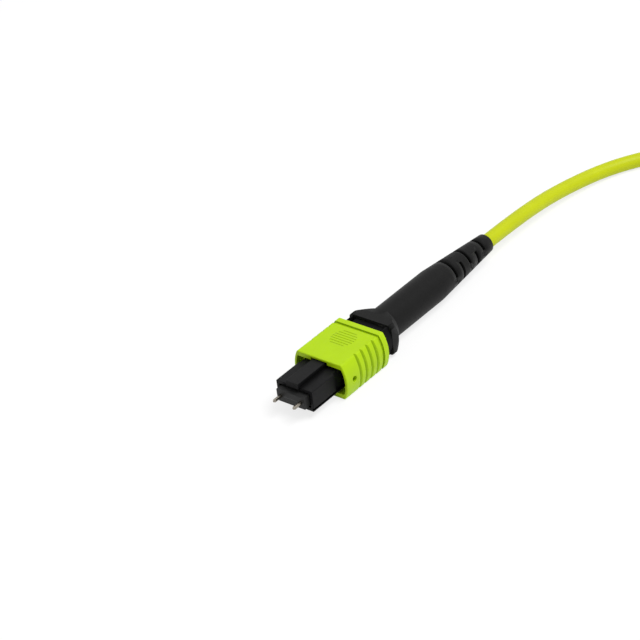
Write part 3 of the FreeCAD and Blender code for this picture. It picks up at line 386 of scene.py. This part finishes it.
# From here on sizes are in millimetres about the plug's axis, as in the part's source.
# The sleeve's bulged sides are arcs of this radius, about a line this far across the axis.
SIDE_CENTRE, SIDE_RADIUS = -1.208, 7.378
SLEEVE_FRONT, SLEEVE_REAR, SLEEVE_TOP = 8.74, 21.4, 3.76
RIB_FIRST, RIB_PITCH, RIB_DEPTH, RIB_SWEEP, RIB_FADE = 12.95, 1.69, 0.4, 72, 0.12
RIDGE_FIRST, RIDGE_PITCH, RIDGE_DEPTH, PATCH_HALF = 13.9, 0.68, 0.06, 2.5
RING_START, RING_END, RING_DEPTH = 19.36, 20.08, 0.34
HOLE_PLACE, HOLE_DROP, HOLE_RADIUS = 10.97, 0.1, 0.6
# Behind its shoulder the boot narrows by this much for each millimetre.
BOOT_RADIUS, BOOT_SHOULDER, BOOT_TAPER = 3.41, 43.0, 0.0813
SLOT_PITCH, SLOT_FLOOR = 5.15, 1.75


def barrel(radius, low, high, corner):
    """The outline of a shape with flat top and bottom, bulged sides and rounded corners."""

    def turned_at(level):
        z = abs(level) - corner
        x = SIDE_CENTRE + math.sqrt((radius - corner) ** 2 - z**2)
        return x, math.copysign(z, level), math.atan2(z, x - SIDE_CENTRE)

    (low_x, low_z, below), (high_x, high_z, above) = turned_at(low), turned_at(high)
    right = []
    for k in range(6):
        turn = -math.pi / 2 + (math.pi / 2 - below) * k / 5
        right.append((low_x + corner * math.cos(turn), low_z + corner * math.sin(turn)))
    for k in range(1, 24):
        turn = -below + (below + above) * k / 24
        right.append((SIDE_CENTRE + radius * math.cos(turn), radius * math.sin(turn)))
    for k in range(6):
        turn = above + (math.pi / 2 - above) * k / 5
        right.append((high_x + corner * math.cos(turn), high_z + corner * math.sin(turn)))
    return right + [(-x, z) for x, z in reversed(right)]


def box(half, low, high):
    return [(half, low), (half, high), (-half, high), (-half, low)]


def add_solid(mesh, loops):
    """A solid through loops of points that follow each other."""
    loops = [[mesh.verts.new(on_axis(*point)) for point in loop] for loop in loops]
    for a, b in zip(loops, loops[1:]):
        for k in range(len(a)):
            n = (k + 1) % len(a)
            mesh.faces.new((a[k], a[n], b[n], b[k]))
    mesh.faces.new(loops[0][::-1])
    mesh.faces.new(loops[-1])


def add_prism(mesh, *sections):
    add_solid(mesh, [[(x, y, z) for x, z in outline] for y, outline in sections])


def add_groove(mesh, centre, inner, outer, place, floor, slope, middle, sweep, fade=0.0):
    """A slice of a ring about a line along the plug, with sloped walls.

    Its floor rises by fade over the last quarter towards each end."""
    loops = []
    for k in range(37):
        turn = math.radians(middle - sweep / 2 + sweep * k / 36)
        rise = min(1.0, max(0.0, abs(k - 18) / 9 - 1))
        bottom = inner + fade * rise
        lip = floor + 2 * slope * (outer - bottom)
        corners = (
            (bottom, place - floor / 2),
            (bottom, place + floor / 2),
            (outer, place + lip / 2),
            (outer, place - lip / 2),
        )
        loops.append([(centre + r * math.cos(turn), y, r * math.sin(turn)) for r, y in corners])
    add_solid(mesh, loops)


def add_ring(mesh, rows):
    """A closed band through loops of points, its last loop joined to its first."""
    loops = [[mesh.verts.new(on_axis(*point)) for point in row] for row in rows]
    for a, b in zip(loops, loops[1:] + loops[:1]):
        for k in range(len(a)):
            n = (k + 1) % len(a)
            mesh.faces.new((a[k], a[n], b[n], b[k]))


def as_object(solid, name):
    bmesh.ops.recalc_face_normals(solid, faces=solid.faces)
    data = bpy.data.meshes.new(name)
    solid.to_mesh(data)
    solid.free()
    item = bpy.data.objects.new(name, data)
    scene.collection.objects.link(item)
    return item


def stand_for(piece, node, body):
    """Put a piece on its body in place of a CAD node."""
    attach(piece, body)
    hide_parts(node)


def shaped(name, node, body, mesh, steps, material):
    """A piece in place of a CAD node, after the solids in steps are joined to it or cut from it."""
    piece = as_object(mesh, name)
    tools = []
    for operation, solid in steps:
        tool = as_object(solid, f"{name}_tool_{len(tools)}")
        step = piece.modifiers.new("step", "BOOLEAN")
        step.operation = operation
        step.solver = "EXACT"
        step.object = tool
        tools.append(tool)
    bpy.context.view_layer.update()
    result = piece.evaluated_get(bpy.context.evaluated_depsgraph_get())
    data = bpy.data.meshes.new_from_object(result)
    piece.modifiers.clear()
    piece.data = data
    for tool in tools:
        bpy.data.objects.remove(tool)
    for polygon in data.polygons:
        polygon.material_index = 0
    dress(piece, material, SHARP)
    even = piece.modifiers.new("even", "WEIGHTED_NORMAL")
    even.keep_sharp = True
    stand_for(piece, node, body)


def add_sleeve(material):
    """The pull sleeve, with its grip grooves, finger ridges and collar groove as fine as seen."""
    front, rear, top, edge = SLEEVE_FRONT, SLEEVE_REAR, SLEEVE_TOP, 0.12
    outside = barrel(SIDE_RADIUS, -top, top, 0.5)
    inset = barrel(SIDE_RADIUS - edge, edge - top, top - edge, 0.5 - edge)
    sleeve = bmesh.new()
    add_prism(
        sleeve, (front, inset), (front + edge, outside), (rear - edge, outside), (rear, inset)
    )
    mouth = barrel(SIDE_RADIUS - 0.5, -2.7, 2.78, 0.3)
    bore = box(4.25, -2.3, 2.3)
    keyway = box(1.9, 0, 3.31)
    spring_channels = box(5.5, -0.7, 0.7)
    rear_mouth = barrel(SIDE_RADIUS - 1.15, -3.08, 3.08, 0.12)
    hollows = [
        (front - 1, front + 1.7, mouth),
        (front - 1, rear + 1, bore),
        (front - 1, 12.0, keyway),
        (12.3, rear + 1, spring_channels),
        (rear - 2.9, rear + 1, rear_mouth),
    ]
    steps = []
    for start, end, outline in hollows:
        hollow = bmesh.new()
        add_prism(hollow, (start, outline), (end, outline))
        steps.append(("DIFFERENCE", hollow))
    fine = bmesh.new()
    for k in range(4):
        for side, middle in ((1, 0), (-1, 180)):
            add_groove(
                fine, side * SIDE_CENTRE, SIDE_RADIUS - RIB_DEPTH, SIDE_RADIUS + 0.1,
                RIB_FIRST + RIB_PITCH * k, 0.14, 0.8, middle, RIB_SWEEP, RIB_FADE,
            )
    # The finger ridges' lengths follow an oval.
    for k in range(7):
        share = math.sqrt(1 - ((k - 3) / 3.8) ** 2)
        start = RIDGE_FIRST + RIDGE_PITCH * k
        line = box(PATCH_HALF * share, top - RIDGE_DEPTH, top + 1)
        add_prism(fine, (start, line), (start + 0.3, line))
    floor = barrel(SIDE_RADIUS - RING_DEPTH, RING_DEPTH - top, top - RING_DEPTH, 0.16)
    beyond = [(1.4 * x, 1.4 * z) for x, z in floor]
    corners = (
        (floor, RING_START), (floor, RING_END), (beyond, RING_END), (beyond, RING_START)
    )
    add_ring(fine, [[(x, y, z) for x, z in outline] for outline, y in corners])
    circle = [math.radians(15 * k) for k in range(24)]
    rim = [
        (HOLE_PLACE + HOLE_RADIUS * math.cos(t), HOLE_RADIUS * math.sin(t) - HOLE_DROP)
        for t in circle
    ]
    add_solid(fine, [[(x, y, z) for y, z in rim] for x in (-8, 8)])
    steps.append(("DIFFERENCE", fine))
    shaped(
        "ribbed_sleeve", "coupling_sleeve", "coupling", sleeve, steps, material
    )


def add_boot(material):
    """The boot, with wide flex slots that shorten towards its thin end."""
    boot = bmesh.new()
    boot.from_mesh(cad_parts["strain_relief_boot"].data)
    bmesh.ops.remove_doubles(boot, verts=boot.verts, dist=0.0001 * MM)
    # The CAD's narrower slots are filled first, to just below the skin.
    filled = bmesh.new()
    circle = [math.radians(5 * k) for k in range(72)]
    for k in range(5):
        ends = (47.17 + 2.575 * k, 47.63 + 2.575 * k)
        skin = [(y, BOOT_RADIUS - BOOT_TAPER * (y - BOOT_SHOULDER) - 0.006) for y in ends]
        corners = [*skin, (ends[1], 1.66), (ends[0], 1.66)]
        rows = [[(r * math.cos(t), y, r * math.sin(t)) for t in circle] for y, r in corners]
        add_ring(filled, rows)
    slots = bmesh.new()
    for k, (upper, lower) in enumerate(((164, 120), (152, 116), (142, 110))):
        # The lower slots are a degree off the mesh's seam, so that the cut leaves it closed.
        for middle, sweep in ((90, upper), (271, lower)):
            place = 47.25 + SLOT_PITCH * k
            add_groove(slots, 0, SLOT_FLOOR, 4.0, place, 0.72, 0.01, middle, sweep)
    for k, sweep in enumerate((99, 88)):
        for middle in (0, 180):
            place = 49.9 + SLOT_PITCH * k
            add_groove(slots, 0, SLOT_FLOOR, 4.0, place, 0.68, 0.01, middle, sweep)
    steps = [("UNION", filled), ("DIFFERENCE", slots)]
    shaped("slotted_boot", "strain_relief_boot", "plug", boot, steps, material)


# ---------------------------------------------------------------- cable

CABLE_RADIUS = 1.5
# The floor lies this far below the plug's axis, and the cable's middle rests above it.
FLOOR_LEVEL = -3.76
CABLE_LOW = CABLE_RADIUS + FLOOR_LEVEL
# The hank: its middle across, the start and length of its straight runs, its turns' radii.
HANK_CENTRE = 9.6
HANK_LEAD = 146.0
HANK_RUN = 45.0
OUTER, INNER = 13.5, 10.5
# The strap passes below the runs, which rise by this much over it.
STRAP_RISE = 1.0
ROUTE = [
    (0.0, 58.0, 0.0),
    (0.0, 72.0, 0.0),
    (0.1, 87.0, -1.49),
    (3.9, 102.0, -2.26),
    (13.2, 113.5, -2.26),
    (23.1, 130.0, -2.26),
    (23.1, 146.0, -2.26),
]


def hank_points():
    """The wound turns: up the right side, round, and back down the left, three layers high.

    A turn changes column or layer on one step of its left run, and each later turn does so one
    step sooner, so that no turn is in the way of the next."""
    steps = 5
    turns = [(OUTER, 0), (INNER, 0), (INNER, 1), (OUTER, 1), (OUTER, 2), (INNER, 2)]
    points = []
    for k, (radius, layer) in enumerate(turns):
        height = CABLE_LOW + 3.0 * layer
        for j in range(1 if k == 0 else 0, steps + 1):
            points.append(run_point(1, radius, height, j / steps))
        points += arc_points(radius, height, HANK_LEAD + HANK_RUN, 0)
        if k == len(turns) - 1:
            break
        after, layer_after = turns[k + 1]
        change = len(turns) - 2 - k
        for j in range(steps + 1):
            moved = j > change
            r = after if moved else radius
            h = CABLE_LOW + 3.0 * (layer_after if moved else layer)
            points.append(run_point(-1, r, h, 1 - j / steps))
        points += arc_points(after, CABLE_LOW + 3.0 * layer_after, HANK_LEAD, 180)
    return points


def run_point(side, radius, height, along):
    lifted = STRAP_RISE if 0.3 < along < 0.7 else 0.0
    return (HANK_CENTRE + side * radius, HANK_LEAD + HANK_RUN * along, height + lifted)


def arc_points(radius, height, centre_y, start):
    wide = radius / math.cos(math.radians(15))
    turn = [math.radians(start + a) for a in (30, 60, 90, 120, 150)]
    return [
        (HANK_CENTRE + wide * math.cos(t), centre_y + wide * math.sin(t), height) for t in turn
    ]


def add_cable(material, strap):
    points = [on_axis(*p) for p in ROUTE + hank_points()]
    data = bpy.data.curves.new("cable_lime", "CURVE")
    data.dimensions = "3D"
    spline = data.splines.new("NURBS")
    spline.points.add(len(points) - 1)
    for target, point in zip(spline.points, points):
        target.co = (*point, 1.0)
    spline.order_u = 3
    spline.use_endpoint_u = True
    spline.resolution_u = 6
    data.bevel_depth = CABLE_RADIUS * MM
    data.bevel_resolution = 6
    data.use_fill_caps = True
    data.materials.append(material)
    cable = bpy.data.objects.new("cable_lime", data)
    scene.collection.objects.link(cable)
    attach(cable, "plug")
    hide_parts("cable", "cable_hank")


def add_strap(material):
    """A hook-and-loop strap round the hank: it sags between the runs, its tail lies on top."""
    thick, half_width = 0.8, 4.5
    reach, low, high, corner = 15.4, 0.4, 10.4, 2.0
    sag, sag_reach = 0.5, 9.0
    tail_thick, tail_lift = 0.44, 0.62

    def sunk(x):
        return sag * max(0.0, 1 - (x / sag_reach) ** 2) ** 2

    path = []
    for centre_x, centre_z, start in (
        (reach - corner, high - corner, 90),
        (-reach + corner, high - corner, 180),
        (-reach + corner, low + corner, 270),
        (reach - corner, low + corner, 0),
    ):
        first = start - 90
        for k in range(9):
            turn = math.radians(first + 90 * k / 8)
            path.append((centre_x + corner * math.cos(turn), centre_z + corner * math.sin(turn)))
        if start == 90:
            flat = [reach - corner - (reach - corner) * k / 8 for k in range(1, 16)]
            path += [(x, high - sunk(x)) for x in flat]
    tail_line = [10.5 - 0.9 * k for k in range(20)]
    tail = [(x, high - sunk(x) + tail_lift) for x in tail_line]
    mesh = bmesh.new()

    def add_band(line, closed, depth, narrow):
        rim = 0.3 * depth
        profile = [
            (-1, 0, -depth / 2 + rim), (-1, 0, depth / 2 - rim),
            (-1, rim, depth / 2), (1, -rim, depth / 2),
            (1, 0, depth / 2 - rim), (1, 0, -depth / 2 + rim),
            (1, -rim, -depth / 2), (-1, rim, -depth / 2),
        ]
        rows = []
        count = len(line)
        for k, (x, z) in enumerate(line):
            before = line[k - 1] if closed or k else line[0]
            after = line[(k + 1) % count] if closed or k < count - 1 else line[-1]
            along = Vector((after[0] - before[0], after[1] - before[1])).normalized()
            wide = half_width - narrow * max(0.0, 1 - k / 3) ** 2
            row = []
            for side, inset, out in profile:
                place = on_axis(
                    HANK_CENTRE + x + out * along.y,
                    HANK_LEAD + HANK_RUN / 2 + side * wide + inset,
                    FLOOR_LEVEL + z - out * along.x,
                )
                row.append(mesh.verts.new(place))
            rows.append(row)
        pairs = list(zip(rows, rows[1:])) + ([(rows[-1], rows[0])] if closed else [])
        for a, b in pairs:
            for s in range(8):
                n = (s + 1) % 8
                mesh.faces.new((a[s], a[n], b[n], b[s]))
        if not closed:
            mesh.faces.new(rows[0][::-1])
            mesh.faces.new(rows[-1])

    add_band(path, True, thick, 0.0)
    add_band(tail, False, tail_thick, 2.0)
    strap = as_object(mesh, "hook_loop_strap")
    dress(strap, material, 35)
    stand_for(strap, "cable_tie", "plug")
    return strap


# ---------------------------------------------------------------- springs


def add_spring(
    name, node, middle, half_width, half_height, wire, front, rear, turns, material
):
    """A smooth wire coil in place of the plain solid."""
    each, sides = 28, 10
    closed = 1.15 * wire
    pitch = (rear - front - 2 * closed - wire) / (turns - 2)
    mesh = bmesh.new()
    rings = []
    for k in range(each * turns + 1):
        turn = k / each
        opened = min(max(turn - 1, 0), turns - 2)
        y = front + wire / 2 + closed * (turn - opened) + pitch * opened
        angle = 2 * math.pi * turn
        centre = Vector((middle + half_width * math.cos(angle), y, half_height * math.sin(angle)))
        out = Vector((half_height * math.cos(angle), 0, half_width * math.sin(angle))).normalized()
        ring = []
        for s in range(sides):
            a = 2 * math.pi * s / sides
            offset = (out * math.cos(a) + Vector((0, 1, 0)) * math.sin(a)) * wire / 2
            p = centre + offset
            ring.append(mesh.verts.new(on_axis(p.x, p.y, p.z)))
        rings.append(ring)
    for a, b in zip(rings, rings[1:]):
        for s in range(sides):
            n = (s + 1) % sides
            mesh.faces.new((a[s], a[n], b[n], b[s]))
    mesh.faces.new(rings[0][::-1])
    mesh.faces.new(rings[-1])
    coil = as_object(mesh, name)
    dress(coil, material, 50)
    stand_for(coil, node, "plug")
    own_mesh(coil)


def add_springs(material):
    """The sleeve's springs, 8.1 mm long, give 2.6 mm; the ferrule's, 6.4 mm long, gives 1 mm."""
    for side, x in (("left", -4.875), ("right", 4.875)):
        add_spring(
            f"side_coil_{side}", f"coupling_spring_{side}",
            x, 0.45, 0.45, 0.18, 12.3, 20.4, 11,
            material,
        )
    add_spring(
        "main_coil", "ferrule_spring",
        0.0, 2.58, 1.13, 0.34, 10.6, 17.0, 7,
        material,
    )


# ---------------------------------------------------------------- stage and light


def seen_rays(tree):
    """One for the rays that show the backdrop: the camera's, and those in metal and glass."""
    rays = tree.nodes.new("ShaderNodeLightPath")
    seen = rays.outputs["Is Camera Ray"]
    for name in ("Is Glossy Ray", "Is Transmission Ray"):
        either = tree.nodes.new("ShaderNodeMath")
        either.operation = "MAXIMUM"
        tree.links.new(seen, either.inputs[0])
        tree.links.new(rays.outputs[name], either.inputs[1])
        seen = either.outputs[0]
    return seen


def add_stage():
    """A floor that keeps the shadow as paper does, and is partly plain white where it is seen."""
    paper_grey, white_strength, white_share = 0.9, 1.07, 0.72
    size = 1.5
    mesh = bpy.data.meshes.new("floor")
    corners = [(-size, -size, 0), (size, -size, 0), (size, size, 0), (-size, size, 0)]
    mesh.from_pydata(corners, [], [(0, 1, 2, 3)])
    floor = bpy.data.objects.new("floor", mesh)
    scene.collection.objects.link(floor)
    material = bpy.data.materials.new("floor_white")
    material.use_nodes = True
    tree = material.node_tree
    tree.nodes.clear()
    out = tree.nodes.new("ShaderNodeOutputMaterial")
    mix = tree.nodes.new("ShaderNodeMixShader")
    paper = tree.nodes.new("ShaderNodeBsdfDiffuse")
    paper.inputs["Color"].default_value = (paper_grey, paper_grey, paper_grey, 1)
    white = tree.nodes.new("ShaderNodeEmission")
    white.inputs["Color"].default_value = (1, 1, 1, 1)
    white.inputs["Strength"].default_value = white_strength
    share = tree.nodes.new("ShaderNodeMath")
    share.operation = "MULTIPLY"
    share.inputs[1].default_value = white_share
    tree.links.new(seen_rays(tree), share.inputs[0])
    tree.links.new(share.outputs[0], mix.inputs["Fac"])
    tree.links.new(paper.outputs[0], mix.inputs[1])
    tree.links.new(white.outputs[0], mix.inputs[2])
    tree.links.new(mix.outputs[0], out.inputs["Surface"])
    floor.data.materials.append(material)


def add_area(name, place, target, size, power):
    data = bpy.data.lights.new(name, "AREA")
    data.shape = "DISK"
    data.size = size
    data.energy = power
    lamp = bpy.data.objects.new(name, data)
    lamp.location = place
    aim = Vector(target) - Vector(place)
    lamp.rotation_euler = aim.to_track_quat("-Z", "Y").to_euler()
    scene.collection.objects.link(lamp)


def add_light():
    """A plain world, white where it is seen, and two soft lamps."""
    world = bpy.data.worlds.new("studio")
    scene.world = world
    world.use_nodes = True
    tree = world.node_tree
    back = tree.nodes["Background"]
    back.inputs["Color"].default_value = (1, 1, 1, 1)
    strength = tree.nodes.new("ShaderNodeMapRange")
    strength.inputs["To Min"].default_value = 0.4
    strength.inputs["To Max"].default_value = 1.0
    tree.links.new(seen_rays(tree), strength.inputs["Value"])
    tree.links.new(strength.outputs["Result"], back.inputs["Strength"])
    add_area("key", (0.35, 0.15, 0.75), (0, 0, 0), 0.5, 5.2)
    add_area("fill", (-0.5, -0.35, 0.45), (0, 0, 0), 0.5, 0.5)


add_camera()
materials = make_materials()
dress_nodes(materials)
add_boot(materials["boot"])
add_sleeve(materials["sleeve"])
add_cable(materials["jacket"], add_strap(materials["strap"]))
add_springs(materials["spring"])
add_stage()
add_light()
